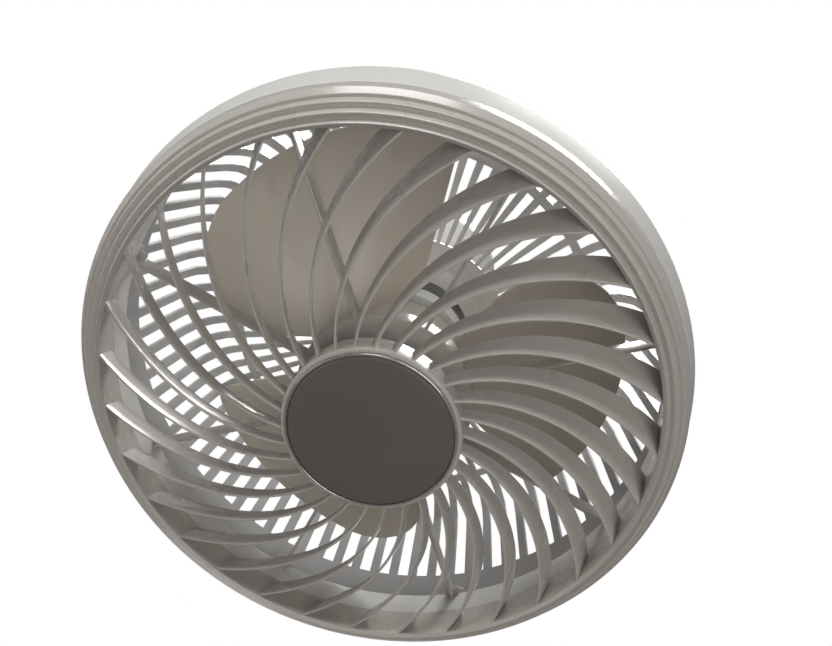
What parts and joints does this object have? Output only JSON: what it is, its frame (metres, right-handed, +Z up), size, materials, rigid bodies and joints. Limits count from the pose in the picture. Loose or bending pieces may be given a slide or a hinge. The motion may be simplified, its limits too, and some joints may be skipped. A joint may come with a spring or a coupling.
{
  "type": "cabin ceiling fan",
  "caption": "Ceiling fan in a round drum with a swirl grille in front, a slotted guard behind and a swivelling, tilting stem.",
  "frame": {"origin": "centre of the base plate's ceiling face", "axes": "+Z up, into the ceiling and along the fan's own axis at rest; +X along the tilt bolt, towards the knob"},
  "size_m": [0.362, 0.362, 0.308],
  "materials": {
    "grille_plastic": "satin",
    "shell_plastic": "satin",
    "guard_plastic": "satin",
    "cap_grey": "satin",
    "silver_trim": "polished",
    "blade_plastic": "satin",
    "white_enamel": "satin",
    "cover_plastic": "satin",
    "zinc_steel": "satin",
    "bearing_steel": "polished",
    "motor_alloy": "satin",
    "core_steel": "matt",
    "copper_wire": "satin",
    "black_plastic": "satin",
    "capacitor_plastic": "satin"
  },
  "bodies": {
    "ceiling_base": {"ceiling_plate": "zinc_steel", "base_cover": "cover_plastic", "cover_screw": "zinc_steel"},
    "swivel": {"swivel_stem": "white_enamel", "swivel_nut": "zinc_steel", "swivel_washer": "zinc_steel", "tilt_bolt": "zinc_steel", "knob_washer": "zinc_steel"},
    "knob": {"tilt_knob": "black_plastic"},
    "housing": {"front_grille": "grille_plastic", "hub_cap": "cap_grey", "hub_trim": "silver_trim", "front_shell": "shell_plastic", "spider": "shell_plastic", "rear_guard": "guard_plastic", "shell_screw": "zinc_steel", "grille_screw": "zinc_steel", "post_screw": "zinc_steel", "front_shield": "motor_alloy", "rear_shield": "motor_alloy", "stator_core": "core_steel", "winding": "copper_wire", "front_bearing": "bearing_steel", "rear_bearing": "bearing_steel", "motor_bolt": "zinc_steel", "motor_screw": "zinc_steel", "motor_cover": "cover_plastic", "capacitor": "capacitor_plastic", "terminal_block": "black_plastic", "cord_gland": "black_plastic", "pivot_bracket": "white_enamel", "bracket_screw": "zinc_steel"},
    "rotor": {"motor_shaft": "zinc_steel", "rotor_core": "core_steel", "impeller": "blade_plastic", "hub_nut": "blade_plastic", "drive_pin": "zinc_steel"}
  },
  "joints": [
    {"name": "pan", "type": "hinge", "parent": "ceiling_base", "child": "swivel", "pos_m": [0, 0, 0], "axis": [0, 0, 1], "range_deg": [-170, 170]},
    {"name": "tilt", "type": "hinge", "parent": "swivel", "child": "housing", "pos_m": [0, 0, -0.1], "axis": [1, 0, 0], "range_deg": [-40, 40]},
    {"name": "spin", "type": "hinge", "parent": "housing", "child": "rotor", "pos_m": [0, 0, -0.2], "axis": [0, 0, 1], "continuous": true},
    {"name": "knob_turn", "type": "hinge", "parent": "swivel", "child": "knob", "pos_m": [0.02, 0, -0.1], "axis": [1, 0, 0], "range_deg": [0, 360]}
  ]
}
